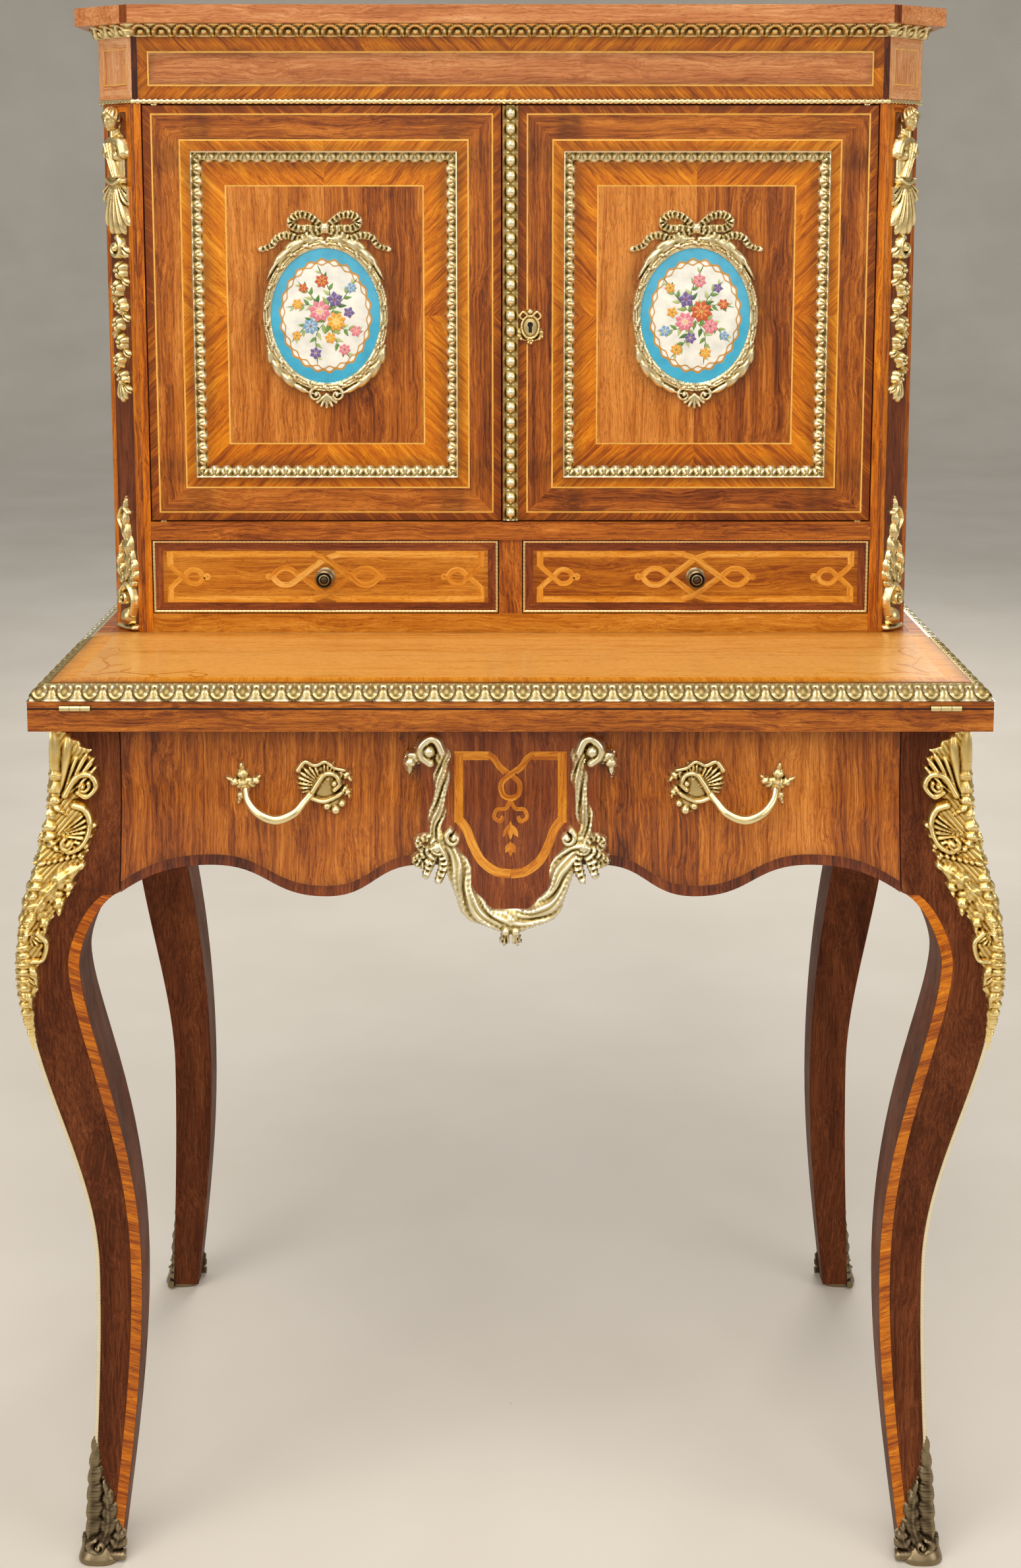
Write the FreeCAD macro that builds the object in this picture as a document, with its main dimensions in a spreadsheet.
import FreeCAD, Part
import os
import re
import Sketcher

# A lady's writing desk: a table on four cabriole legs with a fold-over writing leaf and a
# shaped frieze drawer, carrying a small cabinet with two plaque doors and two small drawers.
# Millimetres, Z up, the front looks along -Y, the origin is on the floor under the middle.

Vector = FreeCAD.Vector
DOC = FreeCAD.newDocument("writing_desk")
SHEET = DOC.addObject("Spreadsheet::Sheet", "Dims")

SIZES = {
    # table top
    "top_width": 760,
    "top_depth": 500,
    "top_height": 763,
    "leaf_thick": 17,
    "bed_thick": 19,
    "leaf_depth": 183,
    "leaf_gap": 0.6,
    "edge_inset": 1,
    "overhang": 18,
    "mould_width": 16,
    "mould_height": 11.5,
    "mould_nose": 4,
    "leather_border": 42,
    "leather_thick": 1,
    "leather_sink": 0.2,
    # hinges of the writing leaf
    "hinge_inset": 39,
    "hinge_length": 24,
    "hinge_reach": 15,
    "hinge_plate": 1.2,
    "barrel_radius": 2.4,
    "barrel_room": 0.4,
    "axis_ahead": 0.3,
    "hinge_pin": 1,
    "pin_fit": 0.05,
    "knuckle_gap": 0.4,
    # legs
    "leg_block": 51.5,
    "block_drop": 37,
    "seam_drop": 131,
    "knee_drop": 188,
    "knee_swell": 26,
    "knee_width": 46,
    "ankle_height": 258,
    "ankle_inset": 17.5,
    "ankle_width": 36.8,
    "foot_inset": 6,
    "foot_width": 26,
    "sole_thick": 4,
    # shoes and corner mounts of the legs
    "sabot_height": 78,
    "sabot_wall": 2.5,
    "toe_reach": 16,
    "toe_height": 13,
    "mount_proud": 9,
    "mount_drop": 2,
    "mount_half": 17,
    "mount_waist": 5,
    "waist_rise": 21,
    "mount_fall": 71,
    "trim_proud": 1.6,
    "trim_half": 2,
    # aprons and the carriage of the frieze drawer
    "apron_thick": 22,
    "side_arch_drop": 107,
    "side_arch_reach": 95,
    "side_lobe_drop": 124,
    "back_apron_thick": 15,
    "bearer_thick": 12,
    "bearer_width": 20,
    "rail_depth": 50,
    "guide_rise": 14,
    # frieze drawer
    "front_thick": 22,
    "front_gap": 0.8,
    "arch_drop": 110,
    "arch_reach": 238,
    "lobe_drop": 134,
    "lobe_reach": 146,
    "tablet_half": 71,
    "shoulder_drop": 87,
    "tablet_neck": 41,
    "tablet_drop": 153,
    "tablet_proud": 6,
    "box_wall": 11,
    "box_height": 86.6,
    "box_back_gap": 42,
    "box_top_gap": 6,
    "box_panel": 6,
    "panel_rise": 5,
    "run_gap": 0.4,
    # frieze drawer handles and the mount under the tablet
    "handle_reach": 178,
    "handle_half": 34,
    "handle_level": 43,
    "handle_drop": 19,
    "handle_proud": 19,
    "handle_radius": 3.6,
    "handle_rose": 11,
    "handle_rose_thick": 5,
    "festoon_out": 6,
    "festoon_in": 9,
    "festoon_proud": 4.4,
    "festoon_depth": 4,
    "festoon_drop": 8,
    # cabinet
    "cabinet_setback": 199,
    "back_inset": 10,
    "stile_half": 351,
    "stile_cant": 28,
    "stile_depth": 46,
    "opening_half": 314,
    "side_thick": 16,
    "back_thick": 8,
    "floor_thick": 17,
    "drawer_height": 66,
    "division_thick": 16,
    "division_ledge": 3,
    "door_opening": 359,
    "divider_half": 10,
    "top_thick": 14,
    "shelf_height": 176,
    "shelf_thick": 12,
    "shelf_setback": 52,
    "frieze_height": 56,
    "frieze_half": 321,
    "frieze_cant": 34,
    "frieze_block": 58,
    "frieze_thick": 18,
    "rope_radius": 2.2,
    "cornice_mould_height": 10,
    "cornice_mould_reach": 11,
    "cornice_thick": 15,
    "cornice_overhang": 20,
    "cornice_half": 320,
    "cornice_cant_width": 52,
    "cornice_cant_depth": 40,
    # doors
    "door_thick": 20,
    "door_gap": 1.2,
    "pivot_inset": 9.5,
    "pivot_depth": 4,
    "pivot_radius": 2,
    "pivot_length": 13,
    "pivot_flange": 3.8,
    "flange_thick": 0.7,
    "pivot_fit": 0.05,
    "astragal_width": 14,
    "astragal_proud": 6,
    "panel_centre": 159,
    "frame_half_width": 114,
    "frame_half_height": 140.5,
    "frame_width": 10.8,
    "frame_proud": 6,
    "plaque_half_width": 47,
    "plaque_half_height": 58,
    "plaque_thick": 4,
    "plaque_sink": 2.5,
    "plaque_fit": 0.1,
    "bezel_width": 10,
    "bezel_dome": 9,
    "bow_half": 24,
    "bow_rise": 9,
    "bow_thick": 6,
    "drop_half": 15,
    "drop_height": 11,
    # lock
    "lock_height": 170,
    "lock_reach": 36,
    "lock_case_height": 52,
    "lock_case_thick": 9,
    "bolt_length": 24,
    "bolt_height": 14,
    "bolt_thick": 4,
    "bolt_fit": 0.3,
    "bolt_travel": 6,
    "keep_room": 1,
    "key_offset": 17,
    "keyhole_radius": 1.9,
    "escutcheon_half": 9.5,
    "escutcheon_rise": 15,
    "escutcheon_thick": 2,
    # small drawers
    "drawer_gap": 0.8,
    "drawer_front_thick": 13,
    "drawer_wall": 8,
    "drawer_back_gap": 38,
    "drawer_top_gap": 5,
    "drawer_panel": 5,
    "knob_radius": 7.5,
    "knob_length": 18,
    "knob_stem": 3.4,
    "knob_rose": 6.2,
    "knob_rose_thick": 3,
    # figures on the canted stiles
    "head_radius": 9,
    "head_length": 25,
    "bust_radius": 13,
    "bust_length": 42,
    "skirt_length": 46,
    "scroll_radius": 9,
    "flower_radius": 7.2,
    "flower_pitch": 13.5,
    "foot_mount_height": 118,
    "foot_mount_radius": 9,
}
FLOWER_COUNT = 8
CURVE_PULL = 1 / 3

for row, (alias, value) in enumerate(SIZES.items(), start=1):
    SHEET.set(f"A{row}", str(value))
    SHEET.setAlias(f"A{row}", alias)
DOC.recompute()

# Places worked out from the driving sizes.
FRONT = "((mount_proud - top_depth)/2)"
BACK = "((mount_proud + top_depth)/2)"
MIDDLE = "(mount_proud/2)"
LEAF_UNDER = "(top_height - leaf_thick)"
BED_UNDER = "(top_height - leaf_thick - bed_thick)"
EDGE_X = "(top_width/2 - edge_inset)"
EDGE_FRONT = f"({FRONT} + edge_inset)"
LEAF_BACK = f"({FRONT} + leaf_depth)"
LEG_OUT = "(top_width/2 - overhang)"
LEG_IN = "(top_width/2 - overhang - leg_block)"
LEG_FRONT = f"({FRONT} + overhang)"
LEG_BACK = f"({BACK} - overhang)"
HINGE_X = "(top_width/2 - hinge_inset)"
HINGE_Y = f"({FRONT} - axis_ahead)"
CAB_FRONT = f"({FRONT} + cabinet_setback)"
CAB_BACK = f"({BACK} - back_inset)"
PANEL_FRONT = f"({CAB_BACK} - back_thick)"
INSIDE = "(stile_half - side_thick)"
FLOOR_TOP = "(top_height + floor_thick)"
DIVISION_UNDER = f"({FLOOR_TOP} + drawer_height)"
DIVISION_TOP = f"({DIVISION_UNDER} + division_thick)"
OPENING_TOP = f"({DIVISION_TOP} + door_opening)"
FRIEZE_TOP = f"({OPENING_TOP} + frieze_height)"
CORNICE_UNDER = f"({FRIEZE_TOP} + cornice_mould_height)"
DOOR_LOW = f"({DIVISION_TOP} + door_gap)"
DOOR_HIGH = f"({OPENING_TOP} - door_gap)"
DOOR_MIDDLE = f"({DIVISION_TOP} + door_opening/2)"
DOOR_BACK = f"({CAB_FRONT} + door_thick)"
DOOR_OUT = "(opening_half - door_gap)"
MEETING = "(astragal_width/2)"
PIVOT_X = "(opening_half - door_gap - pivot_inset)"
PIVOT_Y = f"({CAB_FRONT} + pivot_depth)"
LOCK_Z = f"({DIVISION_TOP} + lock_height)"
BLOCK_END = f"({BED_UNDER} - block_drop)"
SEAM = f"({BED_UNDER} - seam_drop)"
KNEE = f"({BED_UNDER} - knee_drop)"
MOUNT_TIP = f"({KNEE} - mount_fall)"
ARCH = f"({BED_UNDER} - arch_drop)"
APRON_BACK = f"({LEG_BACK} - back_apron_thick)"
DRAWER_BACK = f"({APRON_BACK} - box_back_gap)"
BOX_TOP = f"({BED_UNDER} - box_top_gap)"
BOX_LOW = f"({BOX_TOP} - box_height)"
BEARER_TOP = f"({BOX_LOW} - run_gap)"
BEARER_UNDER = f"({BEARER_TOP} - bearer_thick)"
BOX_OUT = f"({LEG_IN} - front_gap - run_gap)"
HANDLE_Z = f"({BED_UNDER} - handle_level)"

NODES = []


def bind(text):
    """The expression with every size named as a cell of the sheet."""


    def cell(word):
        return "Dims." + word.group() if word.group() in SIZES else word.group()

    return re.sub(r"[a-z_]+", cell, text)


def num(text):
    """The present value of an expression of the sheet."""
    return float(SHEET.evalExpression(bind(text)))


def node(label, item):
    """Marks an object as a finished sub-part under the name of its file."""
    item.Label = label
    NODES.append(item)
    return item


def place(item, x, y, z):
    """Binds the base of an object's placement to three expressions."""
    for axis, text in zip("xyz", (x, y, z)):
        item.setExpression(f"Placement.Base.{axis}", bind(text))
    return item


def box(name, x, y, z):
    """A board between two bounds along each axis."""
    item = DOC.addObject("Part::Box", name)
    for side, (low, high) in zip(("Length", "Width", "Height"), (x, y, z)):
        item.setExpression(side, bind(f"({high}) - ({low})"))
    return place(item, x[0], y[0], z[0])


def turned(name, kind, where, turn=None, **sizes):
    """A round primitive with bound sizes, its own axis along Z unless it is turned."""
    item = DOC.addObject(kind, name)
    if turn is not None:
        item.Placement = FreeCAD.Placement(Vector(), FreeCAD.Rotation(*turn))
    for prop, text in sizes.items():
        item.setExpression(prop, bind(text))
    return place(item, *where)


TO_FRONT = (Vector(1, 0, 0), 90)
ALONG_X = (Vector(0, 1, 0), 90)
UPRIGHT_FACE = (Vector(1, 1, 1), 240)


def common(name, *items):
    """The space that all the objects share."""
    item = DOC.addObject("Part::MultiCommon", name)
    item.Shapes = list(items)
    return item


def fuse(name, *items):
    """Several overlapping objects as one piece."""
    item = DOC.addObject("Part::MultiFuse", name)
    item.Shapes = list(items)
    return item


def group(name, *items):
    """Separate solids that share a node."""
    item = DOC.addObject("Part::Compound", name)
    item.Links = list(items)
    return item


def cut(name, base, *tools):
    """The base less each tool in turn."""
    for tool in tools:
        item = DOC.addObject("Part::Cut", name + "_cut")
        item.Base = base
        item.Tool = tool
        base = item
    return base


def mirror(name, item, normal=Vector(1, 0, 0)):
    """The object's twin across the middle of the table."""
    twin = DOC.addObject("Part::Mirroring", name)
    twin.Source = item
    twin.Normal = normal
    twin.setExpression("Base.y", bind(MIDDLE))
    return twin


def pair(name, item):
    """An object and its twin on the other side, as one node's two solids."""
    return group(name, item, mirror(name + "_twin", item))


def outline(name, to_space, start, *steps):
    """A flat face inside straight steps of one point and curved steps of more points."""
    edges = []
    here = start
    for step in steps:
        poles = [to_space(*point) for point in (here, *step)]
        if len(poles) == 2:
            edges.append(Part.LineSegment(*poles).toShape())
        else:
            curve = Part.BezierCurve()
            curve.setPoles(poles)
            edges.append(curve.toShape())
        here = step[-1]
    item = DOC.addObject("Part::Feature", name)
    item.Shape = Part.Face(Part.Wire(edges))
    return item


def extrude(name, face, direction, length, both=False):
    """A face carried along a direction, or half each way."""
    item = DOC.addObject("Part::Extrusion", name)
    item.Base = face
    item.DirMode = "Custom"
    item.Dir = direction
    item.Solid = True
    item.Symmetric = both
    item.setExpression("LengthFwd", bind(length))
    return item


def padded(name, role, points, length, where):
    """A body padded from a sketch whose corners are bound to the sheet."""
    body = DOC.addObject("PartDesign::Body", name)
    sketch = body.newObject("Sketcher::SketchObject", name + "_sketch")
    plane = [item for item in body.Origin.OriginFeatures if item.Role == role][0]
    sketch.AttachmentSupport = [(plane, "")]
    sketch.MapMode = "FlatFace"
    corners = [Vector(num(a), num(b), 0) for a, b in points]
    count = len(points)
    for index, corner in enumerate(corners):
        sketch.addGeometry(Part.LineSegment(corner, corners[(index + 1) % count]), False)
    for index in range(count):
        sketch.addConstraint(Sketcher.Constraint("Coincident", index, 2, (index + 1) % count, 1))
    for index, (corner, point) in enumerate(zip(corners, points)):
        for kind, value, text in (("DistanceX", corner.x, point[0]), ("DistanceY", corner.y, point[1])):
            bound = sketch.addConstraint(Sketcher.Constraint(kind, -1, 1, index, 1, value))
            sketch.setExpression(f"Constraints[{bound}]", bind(text))
    pad = body.newObject("PartDesign::Pad", name + "_pad")
    pad.Profile = sketch
    pad.setExpression("Length", bind(length))
    return place(body, *where)


def strip(name, path, section, closed=False):
    """A moulding: a section carried along a path with mitred corners."""
    points = list(path)
    if closed:
        points.append(points[0])
    item = DOC.addObject("Part::Feature", name)
    item.Shape = Part.makePolygon(points).makePipeShell([section], True, False, 1)
    return item


def mirrored_path(half):
    """Points from the middle to one end, with their twins before them."""
    return [Vector(-point.x, point.y, point.z) for point in reversed(half)] + list(half)


# Cabriole legs, sawn to the same curve in two directions from a square block.
def leg_curves(shift):
    """Outer and inner outline steps of a leg, as distance out from the block and height."""
    top = num(BED_UNDER)
    block_end, seam = num(BLOCK_END), num(SEAM)
    knee_z, knee = num(KNEE), num("knee_swell")
    knee_in = knee - num("knee_width")
    ankle_z, ankle = num("ankle_height"), -num("ankle_inset")
    ankle_in = ankle - num("ankle_width")
    foot, sole = -num("foot_inset"), num("sole_thick")
    foot_in = foot - num("foot_width")
    inner = -num("leg_block")
    upper = (block_end - knee_z) * CURVE_PULL
    lower = (knee_z - ankle_z) * CURVE_PULL
    shank = (ankle_z - sole) * CURVE_PULL
    hollow = (seam - knee_z) * CURVE_PULL
    outer_steps = (
        ((0, block_end),),
        ((0, block_end - upper), (knee, knee_z + upper), (knee, knee_z)),
        ((knee, knee_z - lower), (ankle, ankle_z + lower), (ankle, ankle_z)),
        ((ankle, ankle_z - shank), ((ankle + foot) / 2, sole + shank), (foot, sole)),
    )
    inner_steps = (
        ((foot_in, sole),),
        (((ankle_in + foot_in) / 2, sole + shank), (ankle_in, ankle_z - shank), (ankle_in, ankle_z)),
        ((ankle_in, ankle_z + lower + lower / 2), (knee_in, knee_z - lower / 2), (knee_in, knee_z)),
        ((knee_in, knee_z + hollow), ((knee_in + inner) / 2, seam - hollow / 4), (inner, seam)),
        ((inner, top),),
        ((0, top),),
    )

    def moved(steps):
        return tuple(tuple((out + shift, height) for out, height in step) for step in steps)

    return (shift, top), moved(outer_steps), moved(inner_steps)


def to_side(out, height):
    """A point of the front view, out from the right leg block."""
    return Vector(num(LEG_OUT) + out, 0, height)


def to_front(out, height):
    """A point of the side view, out from the front leg block."""
    return Vector(0, num(LEG_FRONT) - out, height)


def leg_form(name, shift=0):
    """The right front leg, its curve moved outwards where a mount lies over it."""
    start, outer, inner = leg_curves(shift)
    front_view = outline(name + "_front_view", to_side, start, *outer, *inner)
    side_view = outline(name + "_side_view", to_front, start, *outer, *inner)
    across = extrude(name + "_across", front_view, ALONG_Y, "2*top_depth", True)
    along = extrude(name + "_along", side_view, ACROSS, "2*top_width", True)
    return common(name, across, along)


ACROSS = Vector(1, 0, 0)
ALONG_Y = Vector(0, 1, 0)
LEG = node("front_right_leg", leg_form("leg"))
LEFT_LEG = node("front_left_leg", mirror("left_leg", LEG))
node("back_right_leg", mirror("back_leg", LEG, ALONG_Y))
node("back_left_leg", mirror("back_left", LEFT_LEG, ALONG_Y))


# Shoes: a shell round each foot that rolls out to a toe, on a flat sole.
def sabot_outline(name, to_space):
    """The shoe's side view, open above where the leg goes in."""
    sole, high, wall = num("sole_thick"), num("sabot_height"), num("sabot_wall")
    foot, ankle = -num("foot_inset"), -num("ankle_inset")
    share = (high - sole) / (num("ankle_height") - sole)
    out_top = foot + (ankle - foot) * share + wall
    inner_foot = foot - num("foot_width") - wall
    inner_top = inner_foot + (ankle - num("ankle_width") - wall - inner_foot) * share
    toe, toe_z = foot + num("toe_reach"), num("toe_height")
    return outline(
        name,
        to_space,
        (out_top, high),
        ((out_top, high / 2), (toe, toe_z * 2), (toe, toe_z)),
        ((toe, 0), (toe - wall, 0)),
        ((inner_foot, 0),),
        ((inner_top, high),),
        ((out_top, high),),
    )


SABOT_FRONT_VIEW = sabot_outline("sabot_front_view", to_side)
SABOT_SIDE_VIEW = sabot_outline("sabot_side_view", to_front)
SABOT_ACROSS = extrude("sabot_across", SABOT_FRONT_VIEW, ALONG_Y, "2*top_depth", True)
SABOT_ALONG = extrude("sabot_along", SABOT_SIDE_VIEW, ACROSS, "2*top_width", True)
SABOT = cut("sabot", common("sabot_block", SABOT_ACROSS, SABOT_ALONG), LEG)
LEFT_SABOT = mirror("left_sabot", SABOT)
node(
    "sabots",
    group(
        "sabots",
        SABOT,
        LEFT_SABOT,
        mirror("back_sabot", SABOT, ALONG_Y),
        mirror("back_left_sabot", LEFT_SABOT, ALONG_Y),
    ),
)


# Corner mounts: leaf-shaped plates bent over the outer arris of the front knees.
def to_arris(across, height):
    """A point on the upright plane square to the right front leg's diagonal."""
    return Vector(num(LEG_OUT) + across, num(LEG_FRONT) + across, height)


DIAGONAL = Vector(1, -1, 0)


def arris_piece(name, proud, face):
    """What lies over the leg inside a leaf-shaped column along the diagonal."""
    column = extrude(name + "_column", face, DIAGONAL, "2*top_width", True)
    return cut(name, common(name + "_block", leg_form(name + "_over", num(proud)), column), LEG)


def leaf_outline():
    """Broad over the block, drawn in at a waist and pointed below the knee."""
    high, tip = num(f"{BED_UNDER} - mount_drop"), num(MOUNT_TIP)
    half, waist, waist_z = num("mount_half"), num("mount_waist"), num(f"{KNEE} + waist_rise")
    end = num("trim_half")
    return outline(
        "knee_leaf",
        to_arris,
        (0, high),
        ((half / 2, high - half), (half, high - half), (half, (high + waist_z) / 2)),
        ((half, waist_z + half), (waist, waist_z + half), (waist, waist_z)),
        ((waist, (waist_z + tip) / 2), (end, (waist_z + tip) / 2), (end, tip)),
        ((-end, tip),),
        ((-end, (waist_z + tip) / 2), (-waist, (waist_z + tip) / 2), (-waist, waist_z)),
        ((-waist, waist_z + half), (-half, waist_z + half), (-half, (high + waist_z) / 2)),
        ((-half, high - half), (-half / 2, high - half), (0, high)),
    )


def trim_outline():
    """The narrow strip from the corner mount down to the shoe."""
    half, high, low = num("trim_half"), num(MOUNT_TIP), num("sabot_height")
    corners = [(half, low), (half, high), (-half, high), (-half, low)]
    return outline("arris_line", to_arris, corners[-1], *[(corner,) for corner in corners])


node("knee_mounts", pair("knee_mounts", arris_piece("knee_mount", "mount_proud", leaf_outline())))
node("arris_trims", pair("arris_trims", arris_piece("arris_trim", "trim_proud", trim_outline())))


# Swelled boards: the aprons and the drawer front follow the legs' outer curve.
def swell(name, to_space, thick, proud="0"):
    """The section of a board that swells with the knee, between a flat back and the curve."""
    start, outer, _ = leg_curves(num(proud))
    back = -num(thick)
    top, knee_z = num(BED_UNDER), num(KNEE)
    return outline(name, to_space, start, *outer[:2], ((back, knee_z),), ((back, top),), (start,))


def apron_edge():
    """Side apron's lower edge: two shallow arches about a small drop, seen along X."""
    seam = num(SEAM)
    arch, lobe = num(f"{BED_UNDER} - side_arch_drop"), num(f"{BED_UNDER} - side_lobe_drop")
    near, far = num(f"{LEG_FRONT} + leg_block"), num(f"{LEG_BACK} - leg_block")
    middle, reach, top = num(MIDDLE), num("side_arch_reach"), num(BED_UNDER)

    def flip(y):
        return 2 * middle - y

    left = middle - reach
    rise = ((near + (left - near) / 3, arch), (left - (left - near) / 3, arch), (left, arch))
    fall = ((left + reach / 2, arch), (middle - reach / 2, lobe), (middle, lobe))
    lift = ((flip(middle - reach / 2), lobe), (flip(left + reach / 2), arch), (flip(left), arch))
    drop = ((flip(rise[1][0]), arch), (flip(rise[0][0]), arch), (far, seam))
    return outline(
        "apron_edge",
        lambda y, z: Vector(0, y, z),
        (near, seam),
        rise,
        fall,
        lift,
        drop,
        ((far, top),),
        ((near, top),),
        ((near, seam),),
    )


APRON = common(
    "side_apron",
    extrude("apron_swell", swell("apron_section", to_side, "apron_thick"), ALONG_Y, "2*top_depth", True),
    extrude("apron_cut", apron_edge(), ACROSS, "2*top_width", True),
)
node("side_aprons", pair("side_aprons", APRON))
node(
    "back_apron",
    box(
        "back_apron",
        (f"-{LEG_IN}", LEG_IN),
        (APRON_BACK, LEG_BACK),
        (BEARER_UNDER, BED_UNDER),
    ),
)

# Bearers of the frieze drawer: a rail behind its front, a runner and a guide on each side.
BEARER_Z = (BEARER_UNDER, BEARER_TOP)
RAIL_FRONT = f"{LEG_FRONT} + front_thick + run_gap"
RAIL = box("drawer_rail", (f"-{LEG_IN}", LEG_IN), (RAIL_FRONT, f"{RAIL_FRONT} + rail_depth"), BEARER_Z)
RUNNER = box(
    "runner",
    (f"{LEG_IN} - bearer_width", LEG_IN),
    (f"{RAIL_FRONT} + rail_depth", APRON_BACK),
    BEARER_Z,
)
GUIDE = box(
    "guide",
    (LEG_IN, f"{LEG_OUT} - apron_thick"),
    (f"{LEG_FRONT} + leg_block", f"{LEG_BACK} - leg_block"),
    (BEARER_UNDER, f"{BEARER_TOP} + guide_rise"),
)
node("drawer_bearers", group("drawer_bearers", RAIL, pair("runners", RUNNER), pair("guides", GUIDE)))


# Frieze drawer: a swelled front with a cupid's-bow edge and a tablet that stands proud.
def front_edge():
    """The drawer front seen from the front, shaped below."""
    side, top = num(f"{LEG_IN} - front_gap"), num(f"{BED_UNDER} - front_gap")
    seam, arch, lobe = num(SEAM), num(ARCH), num(f"{BED_UNDER} - lobe_drop")
    reach, low, tab = num("arch_reach"), num("lobe_reach"), num("tablet_half")
    half = (reach - low) / 2
    right = (
        ((tab + (low - tab) / 2, arch), (low - (low - tab) / 2, lobe), (low, lobe)),
        ((low + half, lobe), (reach - half, arch), (reach, arch)),
        ((reach + (side - reach) / 2, arch), (side - (side - reach) / 4, seam + half / 4), (side, seam)),
    )
    left = []
    knots = [(tab, arch)] + [step[-1] for step in right]
    for index in reversed(range(len(right))):
        first, second, _ = right[index]
        left.append(tuple((-x, z) for x, z in (second, first, knots[index])))
    return outline(
        "front_edge",
        lambda x, z: Vector(x, 0, z),
        (-side, seam),
        *left,
        ((tab, arch),),
        *right,
        ((side, top),),
        ((-side, top),),
        ((-side, seam),),
    )


def tablet_edge(name, grow):
    """The shield-shaped tablet seen from the front, larger all round by a length."""
    more = num(grow)
    half, neck = num("tablet_half") + more, num("tablet_neck") + more
    top, shoulder = num(f"{BED_UNDER} - front_gap"), num(f"{BED_UNDER} - shoulder_drop") - more
    foot, arch = num(f"{BED_UNDER} - tablet_drop") - more, num(ARCH) - more
    return outline(
        name,
        lambda x, z: Vector(x, 0, z),
        (-half, top),
        ((-half, shoulder),),
        ((-half, arch), (-neck, shoulder), (-neck, arch)),
        ((-neck, foot), (-neck / 2, foot), (0, foot)),
        ((neck / 2, foot), (neck, foot), (neck, arch)),
        ((neck, shoulder), (half, arch), (half, shoulder)),
        ((half, top),),
        ((-half, top),),
    )


def shield(name, proud, grow):
    """A shield cut from a swelled block that stands out from the legs' curve."""
    section = swell(name + "_section", to_front, "front_thick", proud)
    return common(
        name,
        extrude(name + "_swell", section, ACROSS, "2*top_width", True),
        extrude(name + "_cut", tablet_edge(name + "_edge", grow), ALONG_Y, "2*top_depth", True),
    )


FRONT_SECTION = swell("front_section", to_front, "front_thick")
DRAWER_FRONT = common(
    "drawer_front",
    extrude("front_swell", FRONT_SECTION, ACROSS, "2*top_width", True),
    extrude("front_cut", front_edge(), ALONG_Y, "2*top_depth", True),
)
node("frieze_drawer_front", DRAWER_FRONT)
TABLET = cut("tablet", shield("tablet_block", "tablet_proud", "0"), DRAWER_FRONT)
node("frieze_drawer_tablet", TABLET)

BOX_Y = (f"{LEG_FRONT} + front_thick", DRAWER_BACK)
BOX_IN = f"({BOX_OUT} - box_wall)"
BOX_X = (f"-{BOX_IN}", BOX_IN)
BOX_Z = (BOX_LOW, BOX_TOP)
BACK_FACE = f"({DRAWER_BACK} - box_wall)"
PANEL_Z = (f"{BOX_LOW} + panel_rise", f"{BOX_LOW} + panel_rise + box_panel")
node("frieze_drawer_sides", pair("drawer_sides", box("drawer_side", (BOX_IN, BOX_OUT), BOX_Y, BOX_Z)))
node("frieze_drawer_back", box("drawer_back", BOX_X, (BACK_FACE, DRAWER_BACK), BOX_Z))
node("frieze_drawer_bottom", box("drawer_bottom", BOX_X, (BOX_Y[0], BACK_FACE), PANEL_Z))


# Drop handles: a bowed grip between two roses, standing off the front for the fingers.
def handle():
    """One handle on the right half of the drawer front."""
    face = num(LEG_FRONT)
    out = face - num("handle_proud")
    x, half, z = num("handle_reach"), num("handle_half"), num(HANDLE_Z)
    low = z - num("handle_drop")
    radius = num("handle_radius")
    poles = [
        Vector(x - half, face, z),
        Vector(x - half, out, z),
        Vector(x - half * 2 * CURVE_PULL, out, low),
        Vector(x, out, low),
        Vector(x + half * 2 * CURVE_PULL, out, low),
        Vector(x + half, out, z),
        Vector(x + half, face, z),
    ]
    curve = Part.BezierCurve()
    curve.setPoles(poles)
    circle = Part.Wire([Part.Circle(poles[0], Vector(0, 1, 0), radius).toShape()])
    grip = DOC.addObject("Part::Feature", "grip")
    grip.Shape = Part.Wire([curve.toShape()]).makePipeShell([circle], True, False)
    roses = [
        turned(
            f"rose_{side}",
            "Part::Cylinder",
            (f"handle_reach {side} handle_half", LEG_FRONT, HANDLE_Z),
            TO_FRONT,
            Radius="handle_rose",
            Height="handle_rose_thick",
        )
        for side in "+-"
    ]
    return cut("handle", fuse("handle_parts", grip, *roses), DRAWER_FRONT)


node("frieze_drawer_handles", pair("handles", handle()))

# Festoon mount: a border laid over the tablet's edge, open at the top.
FESTOON_BLOCK = shield("festoon_block", "tablet_proud + festoon_proud", "festoon_out")
FESTOON_CORE = shield("festoon_core", "-festoon_depth", "2*festoon_out")
WINDOW_EDGE = tablet_edge("window_edge", "-festoon_in")
FESTOON_WINDOW = extrude("festoon_window", WINDOW_EDGE, ALONG_Y, "2*top_depth", True)
FESTOON_GAP = box(
    "festoon_gap",
    ("-top_width", "top_width"),
    (FRONT, "0"),
    (f"{BED_UNDER} - festoon_drop", BED_UNDER),
)
FESTOON_CUTS = (FESTOON_WINDOW, TABLET, DRAWER_FRONT, FESTOON_CORE, FESTOON_GAP)
node("apron_mount", cut("apron_mount", FESTOON_BLOCK, *FESTOON_CUTS))

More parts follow.
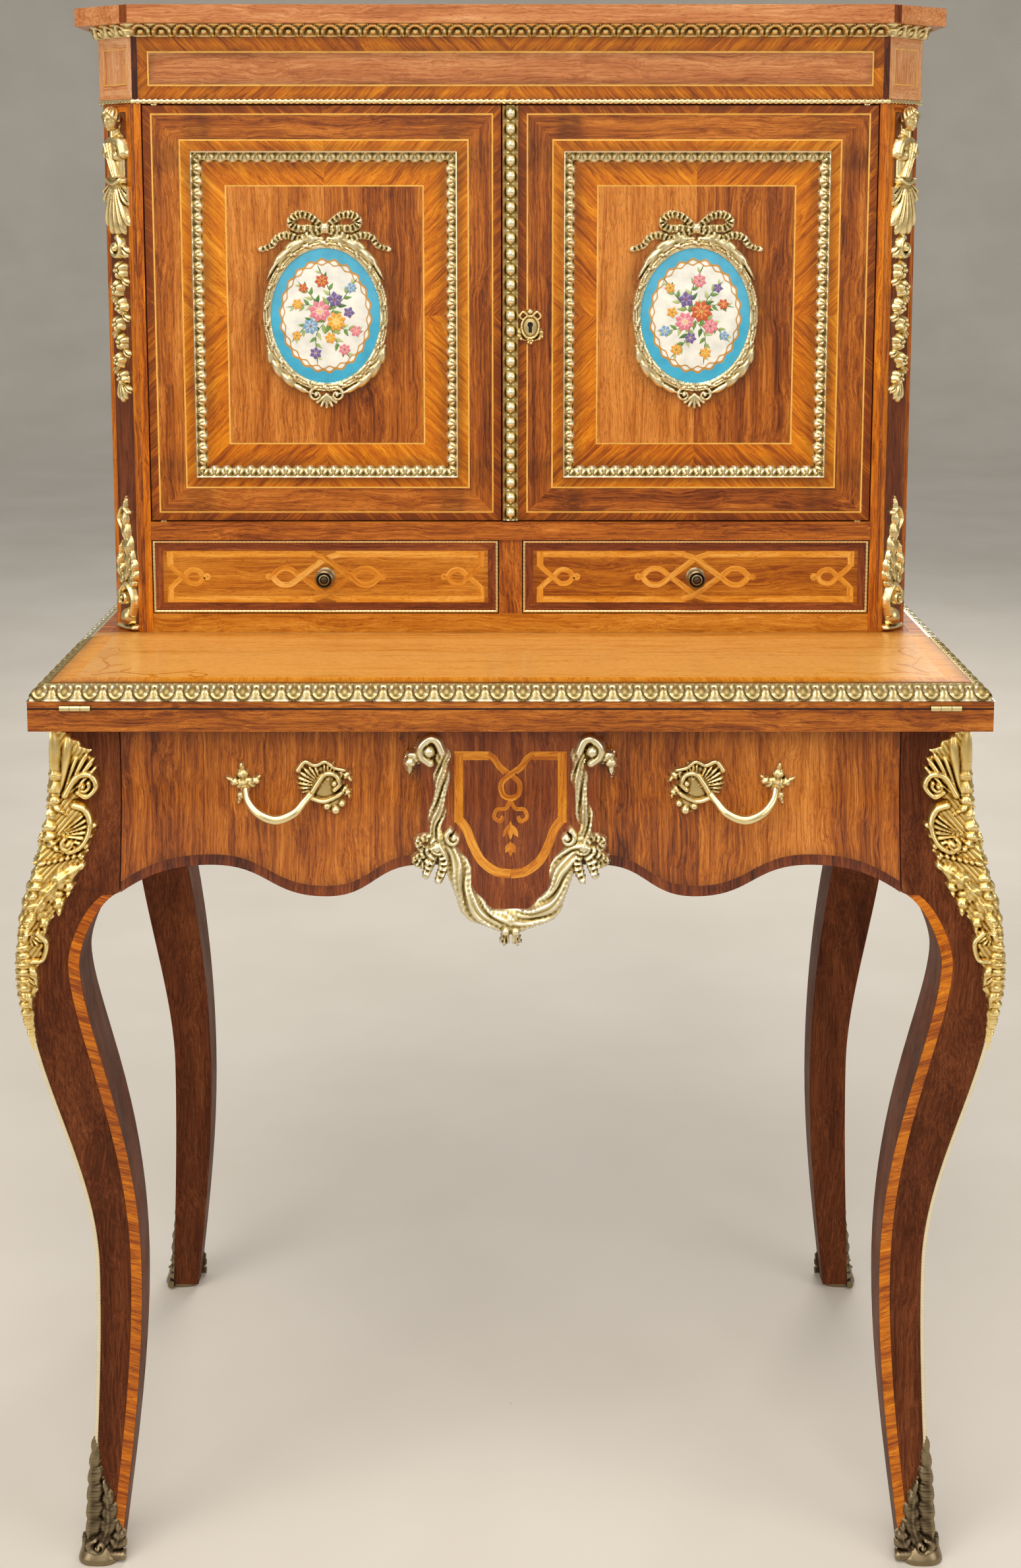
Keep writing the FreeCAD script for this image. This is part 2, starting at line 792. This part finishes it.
# Table top: a bed under the leaf, the folding leaf in front and a fixed top under the cabinet.
LEATHER_X = (f"-({EDGE_X} - leather_border)", f"{EDGE_X} - leather_border")
LEATHER_Y = (f"{EDGE_FRONT} + leather_border", f"{LEAF_BACK} - leather_border/2")
SKIN = "(leather_thick + leather_sink)"
BARREL_ROOM = "(barrel_radius + barrel_room)"
KNUCKLE = "(hinge_length/3)"


def hinge_part(name, kind, start, end, **sizes):
    """A length of the right hinge, between two distances from the middle of its barrel."""
    place_at = (f"{HINGE_X} + {start}", HINGE_Y, LEAF_UNDER)
    return turned(name, kind, place_at, ALONG_X, Height=f"({end}) - ({start})", **sizes)


def knuckle_room(name, start, end):
    """Room in one flap for a knuckle of the other."""
    return box(
        name,
        (f"{HINGE_X} + {start}", f"{HINGE_X} + {end}"),
        (f"{HINGE_Y} - {BARREL_ROOM}", f"{HINGE_Y} + {BARREL_ROOM}"),
        (f"{LEAF_UNDER} - {BARREL_ROOM}", f"{LEAF_UNDER} + {BARREL_ROOM}"),
    )


def hinge_flap(name, low, high):
    """A flat flap from the barrel into the table's edge."""
    ends = (f"{HINGE_X} - hinge_length/2", f"{HINGE_X} + hinge_length/2")
    return box(name, ends, (HINGE_Y, f"{HINGE_Y} + hinge_reach"), (low, high))


MIDDLE_KNUCKLE = (f"-{KNUCKLE}/2", f"{KNUCKLE}/2")
OUTER_KNUCKLES = (
    ("-hinge_length/2", f"-{KNUCKLE}/2 - knuckle_gap"),
    (f"{KNUCKLE}/2 + knuckle_gap", "hinge_length/2"),
)
WHOLE_BARREL = ("-hinge_length/2", "hinge_length/2")
BED_FLAP = hinge_flap("bed_flap", f"{LEAF_UNDER} - hinge_plate", LEAF_UNDER)
LEAF_FLAP = hinge_flap("leaf_flap", LEAF_UNDER, f"{LEAF_UNDER} + hinge_plate")
BARREL_SPACE = hinge_part(
    "barrel_space",
    "Part::Cylinder",
    "-hinge_length/2 - knuckle_gap",
    "hinge_length/2 + knuckle_gap",
    Radius=BARREL_ROOM,
)
BED_ROOM = knuckle_room("bed_room", f"-{KNUCKLE}/2 - knuckle_gap", f"{KNUCKLE}/2 + knuckle_gap")
BED_HALF = fuse(
    "bed_half",
    cut("bed_plate", BED_FLAP, BED_ROOM),
    hinge_part("hinge_pin", "Part::Cylinder", *WHOLE_BARREL, Radius="hinge_pin"),
    *[
        hinge_part(f"bed_knuckle_{index}", "Part::Cylinder", *ends, Radius="barrel_radius")
        for index, ends in enumerate(OUTER_KNUCKLES)
    ],
)
LEAF_HALF = cut(
    "leaf_half",
    fuse(
        "leaf_plate_and_knuckle",
        cut(
            "leaf_plate",
            LEAF_FLAP,
            knuckle_room("leaf_room_0", "-hinge_length/2", f"-{KNUCKLE}/2"),
            knuckle_room("leaf_room_1", f"{KNUCKLE}/2", "hinge_length/2"),
        ),
        hinge_part("leaf_knuckle", "Part::Cylinder", *MIDDLE_KNUCKLE, Radius="barrel_radius"),
    ),
    hinge_part("pin_bore", "Part::Cylinder", *WHOLE_BARREL, Radius="hinge_pin + pin_fit"),
)
node("leaf_hinge_bed_halves", pair("bed_halves", BED_HALF))
node("leaf_hinge_leaf_halves", pair("leaf_halves", LEAF_HALF))

BED_SKIN_Z = (f"{LEAF_UNDER} - {SKIN}", LEAF_UNDER)
LEAF_SKIN_Z = (LEAF_UNDER, f"{LEAF_UNDER} + {SKIN}")
BED_LEATHER_Z = (BED_SKIN_Z[0], f"{LEAF_UNDER} - leather_sink")
LEAF_LEATHER_Z = (f"{LEAF_UNDER} + leather_sink", LEAF_SKIN_Z[1])
node(
    "writing_bed",
    cut(
        "writing_bed",
        box("bed_board", (f"-{EDGE_X}", EDGE_X), (EDGE_FRONT, BACK), (BED_UNDER, LEAF_UNDER)),
        box("bed_skin_recess", LEATHER_X, LEATHER_Y, BED_SKIN_Z),
        pair("bed_barrel_notches", BARREL_SPACE),
        pair("bed_flap_recesses", BED_FLAP),
    ),
)
node("bed_leather", box("bed_leather", LEATHER_X, LEATHER_Y, BED_LEATHER_Z))

FIELD_X = "(top_width/2 - mould_width)"
FIELD_FRONT = f"({FRONT} + mould_width)"
MOULD_UNDER = "(top_height - mould_height)"
REST_FRONT = f"({LEAF_BACK} + leaf_gap)"


def top_board(name, front, field_front, back):
    """A board rebated along its edges for the metal moulding."""
    lower = box(name + "_lower", (f"-{EDGE_X}", EDGE_X), (front, back), (LEAF_UNDER, MOULD_UNDER))
    field = (f"-{FIELD_X}", FIELD_X)
    upper = box(name + "_upper", field, (field_front, back), (MOULD_UNDER, "top_height"))
    return fuse(name, lower, upper)


def edge_section(start, out):
    """The table moulding's section at the start of a run, an ovolo above a small nose."""
    width, height, nose = num("mould_width"), num("mould_height"), num("mould_nose")
    curve = Part.BezierCurve()
    shoulder = start + out * (width - height + nose) + Vector(0, 0, height)
    tip = start + out * width + Vector(0, 0, nose)
    curve.setPoles([tip, start + out * width + Vector(0, 0, height), shoulder])
    corners = [shoulder, start + Vector(0, 0, height), start, start + out * width, tip]
    lines = [Part.LineSegment(a, b).toShape() for a, b in zip(corners, corners[1:])]
    return Part.Wire([curve.toShape(), *lines])


node(
    "folding_leaf",
    cut(
        "folding_leaf",
        top_board("leaf_board", EDGE_FRONT, FIELD_FRONT, LEAF_BACK),
        box("leaf_skin_recess", LEATHER_X, LEATHER_Y, LEAF_SKIN_Z),
        pair("leaf_barrel_notches", BARREL_SPACE),
        pair("leaf_flap_recesses", LEAF_FLAP),
    ),
)
node("leaf_leather", box("leaf_leather", LEATHER_X, LEATHER_Y, LEAF_LEATHER_Z))
LEAF_PATH = mirrored_path(
    [
        Vector(num(FIELD_X), num(FIELD_FRONT), num(MOULD_UNDER)),
        Vector(num(FIELD_X), num(LEAF_BACK), num(MOULD_UNDER)),
    ]
)
node("leaf_moulding", strip("leaf_moulding", LEAF_PATH, edge_section(LEAF_PATH[0], Vector(-1, 0, 0))))
node("fixed_top", top_board("fixed_top", REST_FRONT, REST_FRONT, BACK))
REST_PATH = [Vector(num(FIELD_X), num(edge), num(MOULD_UNDER)) for edge in (REST_FRONT, BACK)]
REST_MOULDING = strip("rest_moulding", REST_PATH, edge_section(REST_PATH[0], Vector(1, 0, 0)))
node("fixed_top_mouldings", pair("fixed_top_mouldings", REST_MOULDING))

# Cabinet carcass on the fixed top.
STILE_Z = f"{OPENING_TOP} - top_height"
STILE = padded(
    "stile",
    "XY_Plane",
    [
        ("opening_half", CAB_FRONT),
        ("stile_half - stile_cant", CAB_FRONT),
        ("stile_half", f"{CAB_FRONT} + stile_cant"),
        ("stile_half", f"{CAB_FRONT} + stile_depth"),
        ("opening_half", f"{CAB_FRONT} + stile_depth"),
    ],
    STILE_Z,
    ("0", "0", "top_height"),
)
node("corner_stiles", pair("corner_stiles", STILE))
WALL_Z = ("top_height", OPENING_TOP)
SIDE = box("cabinet_side", (INSIDE, "stile_half"), (f"{CAB_FRONT} + stile_depth", CAB_BACK), WALL_Z)
node("cabinet_sides", pair("cabinet_sides", SIDE))
INSIDE_X = (f"-{INSIDE}", INSIDE)
node("cabinet_back", box("cabinet_back", INSIDE_X, (PANEL_FRONT, CAB_BACK), ("top_height", CORNICE_UNDER)))


def level(name, low, high, half_front=("opening_half", "stile_depth"), front=CAB_FRONT):
    """A board across the cabinet, narrower between the corner posts than behind them."""
    half, depth = half_front
    step = f"({CAB_FRONT} + {depth})"
    neck = box(name + "_neck", (f"-{half}", half), (front, step), (low, high))
    body = box(name + "_body", INSIDE_X, (step, PANEL_FRONT), (low, high))
    return fuse(name, neck, body)


node("cabinet_floor", level("cabinet_floor", "top_height", FLOOR_TOP))
LEDGE = box(
    "ledge",
    ("-opening_half", "opening_half"),
    (f"{CAB_FRONT} - division_ledge", CAB_FRONT),
    (DIVISION_UNDER, DIVISION_TOP),
)
DIVISION = level("division_board", DIVISION_UNDER, DIVISION_TOP)
node("drawer_division", fuse("drawer_division", DIVISION, LEDGE))
DIVIDER_X = ("-divider_half", "divider_half")
DIVIDER_Z = (FLOOR_TOP, DIVISION_UNDER)
node("drawer_divider", box("drawer_divider", DIVIDER_X, (CAB_FRONT, PANEL_FRONT), DIVIDER_Z))
SMALL_GUIDE = box(
    "small_guide",
    ("opening_half", INSIDE),
    (f"{CAB_FRONT} + stile_depth", PANEL_FRONT),
    (FLOOR_TOP, f"{FLOOR_TOP} + guide_rise"),
)
node("drawer_guides", pair("drawer_guides", SMALL_GUIDE))
SHELF_LOW = f"({DIVISION_TOP} + shelf_height)"
node(
    "cupboard_shelf",
    box(
        "cupboard_shelf",
        INSIDE_X,
        (f"{CAB_FRONT} + shelf_setback", PANEL_FRONT),
        (SHELF_LOW, f"{SHELF_LOW} + shelf_thick"),
    ),
)

# Frieze, its corner blocks and the cornice, canted like the stiles.
FRIEZE_OUT = "(frieze_half + frieze_cant)"
FRIEZE_Z = (OPENING_TOP, CORNICE_UNDER)
FRIEZE_FRONT = box(
    "frieze_front", ("-frieze_half", "frieze_half"), (CAB_FRONT, f"{CAB_FRONT} + frieze_thick"), FRIEZE_Z
)
BLOCK = padded(
    "frieze_block",
    "XY_Plane",
    [
        ("frieze_half", CAB_FRONT),
        (FRIEZE_OUT, f"{CAB_FRONT} + frieze_cant"),
        (FRIEZE_OUT, f"{CAB_FRONT} + frieze_block"),
        ("frieze_half", f"{CAB_FRONT} + frieze_block"),
    ],
    f"{CORNICE_UNDER} - {OPENING_TOP}",
    ("0", "0", OPENING_TOP),
)
BLOCKS = pair("frieze_blocks", BLOCK)
FRIEZE_SIDE = box("frieze_side", (INSIDE, FRIEZE_OUT), (f"{CAB_FRONT} + frieze_block", CAB_BACK), FRIEZE_Z)
node("frieze_boards", group("frieze_boards", FRIEZE_FRONT, BLOCKS, pair("frieze_sides", FRIEZE_SIDE)))
node(
    "cabinet_top_board",
    level(
        "cabinet_top_board",
        OPENING_TOP,
        f"{OPENING_TOP} + top_thick",
        ("frieze_half", "frieze_block"),
        f"{CAB_FRONT} + frieze_thick",
    ),
)
ROPE = turned(
    "rope",
    "Part::Cylinder",
    ("-frieze_half", CAB_FRONT, f"{OPENING_TOP} + rope_radius"),
    ALONG_X,
    Radius="rope_radius",
    Height="2*frieze_half",
)
node("frieze_rope_trim", cut("frieze_rope_trim", ROPE, FRIEZE_FRONT))


def cornice_section(start):
    """A hollow moulding that spreads outwards under the cornice."""
    reach, height = num("cornice_mould_reach"), num("cornice_mould_height")
    foot = start + Vector(-reach / 4, 0, 0)
    tip = start + Vector(-reach, 0, height)
    curve = Part.BezierCurve()
    curve.setPoles([foot, foot + Vector(0, 0, height / 2), tip])
    corners = [tip, start + Vector(0, 0, height), start, foot]
    lines = [Part.LineSegment(a, b).toShape() for a, b in zip(corners, corners[1:])]
    return Part.Wire([curve.toShape(), *lines])


CORNICE_PATH = mirrored_path(
    [
        Vector(num("frieze_half"), num(CAB_FRONT), num(FRIEZE_TOP)),
        Vector(num(FRIEZE_OUT), num(f"{CAB_FRONT} + frieze_cant"), num(FRIEZE_TOP)),
        Vector(num(FRIEZE_OUT), num(CAB_BACK), num(FRIEZE_TOP)),
    ]
)
node("cornice_moulding", strip("cornice_moulding", CORNICE_PATH, cornice_section(CORNICE_PATH[0])))
CORNICE_OUT = "(cornice_half + cornice_cant_width)"
CORNICE_FRONT = f"({CAB_FRONT} - cornice_overhang)"
node(
    "cornice",
    padded(
        "cornice",
        "XY_Plane",
        [
            ("cornice_half", CORNICE_FRONT),
            (CORNICE_OUT, f"{CORNICE_FRONT} + cornice_cant_depth"),
            (CORNICE_OUT, CAB_BACK),
            (f"-{CORNICE_OUT}", CAB_BACK),
            (f"-{CORNICE_OUT}", f"{CORNICE_FRONT} + cornice_cant_depth"),
            ("-cornice_half", CORNICE_FRONT),
        ],
        "cornice_thick",
        ("0", "0", CORNICE_UNDER),
    ),
)

# Figures on the canted stiles: a bust over a scroll and a garland, and a mount at the foot.
CANT_X = "(stile_half - stile_cant/2)"
CANT_Y = f"({CAB_FRONT} + stile_cant/2)"


def on_cant(name, kind, height, **sizes):
    """A round form centred on the middle of the right stile's canted face."""
    return turned(name, kind, (CANT_X, CANT_Y, height), **sizes)


def ball(name, height, radius, half_height):
    """An upright ellipsoid on the canted face."""
    return on_cant(name, "Part::Ellipsoid", height, Radius1=half_height, Radius2=radius, Radius3=radius)


BUST_LOW = f"({OPENING_TOP} - head_length - bust_length)"
SKIRT_LOW = f"({BUST_LOW} - skirt_length)"
SCROLL_Z = f"({SKIRT_LOW} - scroll_radius)"
FOOT_SCROLL_Z = "(top_height + foot_mount_radius*3/2)"


def taper(name, low, below, above, height):
    """An upright cone on the canted face, between two radii."""
    return on_cant(name, "Part::Cone", low, Radius1=below, Radius2=above, Height=height)


FIGURE = fuse(
    "figure",
    ball("head", f"{OPENING_TOP} - flange_thick - head_length/2", "head_radius", "head_length/2"),
    taper("bust", BUST_LOW, "bust_radius*2/3", "bust_radius", "bust_length"),
    taper("skirt", SKIRT_LOW, "scroll_radius/2", "bust_radius", "skirt_length"),
    ball("scroll", SCROLL_Z, "scroll_radius", "scroll_radius*5/4"),
    *[
        ball(f"flower_{index}", f"{SCROLL_Z} - flower_pitch*{index + 1}", "flower_radius", "flower_radius")
        for index in range(FLOWER_COUNT)
    ],
)
FOOT_MOUNT = fuse(
    "foot_mount",
    ball("foot_scroll", FOOT_SCROLL_Z, "foot_mount_radius", "foot_mount_radius*3/2"),
    taper(
        "foot_leaf",
        FOOT_SCROLL_Z,
        "foot_mount_radius*2/3",
        "trim_half",
        "foot_mount_height - foot_mount_radius*3/2",
    ),
)
node(
    "stile_mounts",
    group(
        "stile_mounts",
        pair("stile_figures", cut("stile_figure", FIGURE, STILE)),
        pair("stile_feet", cut("stile_foot", FOOT_MOUNT, STILE)),
    ),
)


# Doors: flat boards on pivot pins, each with a metal frame moulding and an oval plaque.
def sided(side, low, high):
    """Bounds along X for one side, counted from the middle."""
    return (low, high) if side > 0 else (f"-({high})", f"-({low})")


def pivot(name, height, up):
    """A pin on a thin flange, pointing into the door from above or below."""
    turn = None if up else (Vector(1, 0, 0), 180)
    where = (PIVOT_X, PIVOT_Y, height)
    sizes = (("pin", "pivot_radius", "pivot_length"), ("flange", "pivot_flange", "flange_thick"))
    rounds = [
        turned(f"{name}_{part}", "Part::Cylinder", where, turn, Radius=radius, Height=length)
        for part, radius, length in sizes
    ]
    return fuse(name, *rounds)


node(
    "door_pivots",
    group(
        "door_pivots",
        pair("low_pivots", pivot("low_pivot", DIVISION_TOP, True)),
        pair("high_pivots", pivot("high_pivot", OPENING_TOP, False)),
    ),
)


def pivot_bore(name, side, low):
    """The hole in a door's edge for its pin, a little deeper than the pin."""
    x = PIVOT_X if side > 0 else f"-{PIVOT_X}"
    return turned(
        name, "Part::Cylinder", (x, PIVOT_Y, low), Radius="pivot_radius + pivot_fit", Height="pivot_length"
    )


def oval(name, x, depth, grow, length):
    """An upright oval column from a depth towards the back, larger than the plaque by grow."""
    ring = DOC.addObject("Part::Ellipse", name + "_ring")
    ring.Placement = FreeCAD.Placement(Vector(), FreeCAD.Rotation(*UPRIGHT_FACE))
    ring.setExpression("MajorRadius", bind(f"plaque_half_height + {grow}"))
    ring.setExpression("MinorRadius", bind(f"plaque_half_width + {grow}"))
    place(ring, x, depth, DOOR_MIDDLE)
    return extrude(name, ring, ALONG_Y, length)


def dome(name, x, z, half, rise, proud):
    """Half an ellipsoid standing on the face of the right door."""
    return turned(
        name,
        "Part::Ellipsoid",
        (x, CAB_FRONT, z),
        TO_FRONT,
        Radius1=proud,
        Radius2=half,
        Radius3=rise,
        Angle1="0",
    )


def bezel():
    """A domed oval border with a ribbon bow above and a drop below, flat on the door."""
    reach = "(plaque_half_height + bezel_width)"
    width = "plaque_half_width + bezel_width"
    shell = dome("bezel_dome", "panel_centre", DOOR_MIDDLE, width, reach, "bezel_dome")
    loops = [
        dome(
            f"bow_{name}",
            f"panel_centre {sign} bow_half/2",
            f"{DOOR_MIDDLE} + {reach} + bow_rise",
            "bow_half*3/5",
            "bow_rise*4/3",
            "bow_thick",
        )
        for name, sign in (("right", "+"), ("left", "-"))
    ]
    low = f"{DOOR_MIDDLE} - {reach}"
    drop = dome("bezel_drop", "panel_centre", low, "drop_half", "drop_height", "bow_thick")
    ahead = f"{CAB_FRONT} - 2*bezel_dome"
    window = oval("bezel_window", "panel_centre", ahead, "plaque_fit", "4*bezel_dome")
    return cut("bezel", fuse("bezel_relief", shell, *loops, drop), window)


def frame_moulding():
    """A raised leaf moulding mitred into a rectangle on the right door."""
    half_x, half_z = num("frame_half_width - frame_width"), num("frame_half_height - frame_width")
    x, y, z = num("panel_centre"), num(CAB_FRONT), num(DOOR_MIDDLE)
    width, proud = num("frame_width"), num("frame_proud")
    path = [
        Vector(x - half_x, y, z - half_z),
        Vector(x - half_x, y, z + half_z),
        Vector(x + half_x, y, z + half_z),
        Vector(x + half_x, y, z - half_z),
    ]
    inner, outer = path[0], path[0] + Vector(-width, 0, 0)
    curve = Part.BezierCurve()
    curve.setPoles(
        [
            inner,
            inner + Vector(0, -proud / 2, 0),
            inner + Vector(-width / 2, -proud / 2, 0),
            inner + Vector(-width * 2 / 3, -proud * 4 / 3, 0),
            outer + Vector(0, -proud, 0),
        ]
    )
    corners = [outer + Vector(0, -proud, 0), outer, inner]
    lines = [Part.LineSegment(a, b).toShape() for a, b in zip(corners, corners[1:])]
    return strip("frame_moulding", path, Part.Wire([curve.toShape(), *lines]), closed=True)


LOCK_Y = f"({CAB_FRONT} + door_thick/2)"
LOCK_X = (f"-{MEETING}", f"lock_reach - {MEETING}")


def lock_box(name, x, thick, high):
    """A block centred on the lock's height and the middle of the door's thickness."""
    y = (f"{LOCK_Y} - ({thick})/2", f"{LOCK_Y} + ({thick})/2")
    z = (f"{LOCK_Z} - ({high})/2", f"{LOCK_Z} + ({high})/2")
    return box(name, x, y, z)


CASE = lock_box("lock_mortise", LOCK_X, "lock_case_thick", "lock_case_height")
BOLT_SPACE = lock_box(
    "bolt_space",
    (f"-{MEETING}", f"bolt_length + bolt_fit - {MEETING}"),
    "bolt_thick + 2*bolt_fit",
    "bolt_height + 2*bolt_fit",
)
KEEP_X = (f"-({MEETING} + bolt_travel + keep_room)", f"-({MEETING} + door_gap)")
KEEP = lock_box("bolt_keep", KEEP_X, "bolt_thick + 2*keep_room", "bolt_height + 2*keep_room")
KEYHOLE = turned(
    "keyhole",
    "Part::Cylinder",
    ("key_offset", f"{LOCK_Y} - lock_case_thick/2", LOCK_Z),
    TO_FRONT,
    Radius="keyhole_radius",
    Height="door_thick",
)
node("door_lock_case", cut("door_lock_case", CASE, BOLT_SPACE))
BOLT_X = (f"-{MEETING}", f"bolt_length - {MEETING}")
node("lock_bolt", lock_box("lock_bolt", BOLT_X, "bolt_thick", "bolt_height"))

DOORS = {
    "left": (-1, (f"-{DOOR_OUT}", f"-({MEETING} + door_gap)"), (KEEP,)),
    "right": (1, (f"-{MEETING}", DOOR_OUT), (CASE, KEYHOLE)),
}
for hand, (side, width, fittings) in DOORS.items():
    centre = "panel_centre" if side > 0 else "-panel_centre"
    board = padded(
        f"{hand}_door_board",
        "XZ_Plane",
        [(width[0], DOOR_LOW), (width[1], DOOR_LOW), (width[1], DOOR_HIGH), (width[0], DOOR_HIGH)],
        "door_thick",
        ("0", DOOR_BACK, "0"),
    )
    recess = oval(f"{hand}_recess", centre, CAB_FRONT, "plaque_fit", "plaque_sink")
    bores = (
        pivot_bore(f"{hand}_low_bore", side, DOOR_LOW),
        pivot_bore(f"{hand}_high_bore", side, f"{DOOR_HIGH} - pivot_length"),
    )
    node(f"{hand}_door", cut(f"{hand}_door", board, recess, *bores, *fittings))

PLAQUE_FACE = f"{CAB_FRONT} + plaque_sink - plaque_thick"
DRESSING = {
    "door_moulding": frame_moulding(),
    "plaque": oval("plaque", "panel_centre", PLAQUE_FACE, "0", "plaque_thick"),
    "plaque_frame": bezel(),
}
for part, item in DRESSING.items():
    node(f"right_{part}", item)
    node(f"left_{part}", mirror(f"left_{part}", item))


def astragal():
    """A rounded closing strip on the right door's meeting edge."""
    half, proud = num(MEETING), num("astragal_proud")
    face, low = num(CAB_FRONT), num(DOOR_LOW)
    return outline(
        "astragal_section",
        lambda x, out: Vector(x, face - out, low),
        (-half, 0),
        ((-half, proud * 4 / 3), (half, proud * 4 / 3), (half, 0)),
        ((-half, 0),),
    )


DOOR_HEIGHT = f"{DOOR_HIGH} - {DOOR_LOW}"
node("closing_astragal", extrude("closing_astragal", astragal(), Vector(0, 0, 1), DOOR_HEIGHT))
PLATE_SIZES = ("escutcheon_half", "escutcheon_rise", "escutcheon_thick")
PLATE = dome("escutcheon_plate", "key_offset", LOCK_Z, *PLATE_SIZES)
node("key_escutcheon", cut("key_escutcheon", PLATE, KEYHOLE))

# Small drawers under the doors.
LOW = f"({FLOOR_TOP} + run_gap)"
for hand, side in (("left", -1), ("right", 1)):
    name = f"{hand}_drawer"
    inner, outer = "(divider_half + drawer_gap)", "(opening_half - drawer_gap)"
    face_z = (f"{FLOOR_TOP} + drawer_gap", f"{DIVISION_UNDER} - drawer_gap")
    front_y = (CAB_FRONT, f"{CAB_FRONT} + drawer_front_thick")
    node(f"{name}_front", box(f"{name}_front", sided(side, inner, outer), front_y, face_z))
    box_in, box_out = f"({inner} + run_gap)", f"({outer} - run_gap)"
    wall_z = (LOW, f"{DIVISION_UNDER} - drawer_top_gap")
    wall_y = (front_y[1], f"{PANEL_FRONT} - drawer_back_gap")
    hollow = (f"{box_in} + drawer_wall", f"{box_out} - drawer_wall")
    walls = (
        box(f"{name}_inner_wall", sided(side, box_in, hollow[0]), wall_y, wall_z),
        box(f"{name}_outer_wall", sided(side, hollow[1], box_out), wall_y, wall_z),
        box(f"{name}_back", sided(side, *hollow), (f"{wall_y[1]} - drawer_wall", wall_y[1]), wall_z),
        box(
            f"{name}_panel",
            sided(side, *hollow),
            (wall_y[0], f"{wall_y[1]} - drawer_wall"),
            (f"{LOW} + drawer_panel/2", f"{LOW} + drawer_panel*3/2"),
        ),
    )
    node(f"{name}_box", group(f"{name}_box", *walls))
    middle = f"({inner} + {outer})/2" if side > 0 else f"-({inner} + {outer})/2"
    knob_z = f"({FLOOR_TOP} + drawer_height/2)"
    knob_at = (middle, CAB_FRONT, knob_z)
    stem = turned(
        f"{name}_stem",
        "Part::Cylinder",
        knob_at,
        TO_FRONT,
        Radius="knob_stem",
        Height="knob_length - knob_radius*2/3",
    )
    rose = turned(
        f"{name}_rose",
        "Part::Cone",
        knob_at,
        TO_FRONT,
        Radius1="knob_rose",
        Radius2="knob_stem",
        Height="knob_rose_thick",
    )
    grip = turned(
        f"{name}_grip",
        "Part::Ellipsoid",
        (middle, f"{CAB_FRONT} - knob_length + knob_radius*2/3", knob_z),
        TO_FRONT,
        Radius1="knob_radius*2/3",
        Radius2="knob_radius",
        Radius3="knob_radius",
    )
    node(f"{name}_knob", fuse(f"{name}_knob", stem, rose, grip))

DOC.recompute()
for item in DOC.Objects:
    if "Invalid" in item.State or "Error" in item.State:
        raise RuntimeError(f"{item.Label} did not build: {item.State}")
for item in NODES:
    if item.Shape.isNull() or not item.Shape.isValid() or not item.Shape.Solids:
        raise RuntimeError(f"{item.Label} is not a sound solid")
os.makedirs("parts", exist_ok=True)
for item in NODES:
    item.Shape.exportStep(f"parts/{item.Label}.step")
    print(item.Label, len(item.Shape.Solids), item.Shape.optimalBoundingBox(False))
print(len(NODES), "nodes")
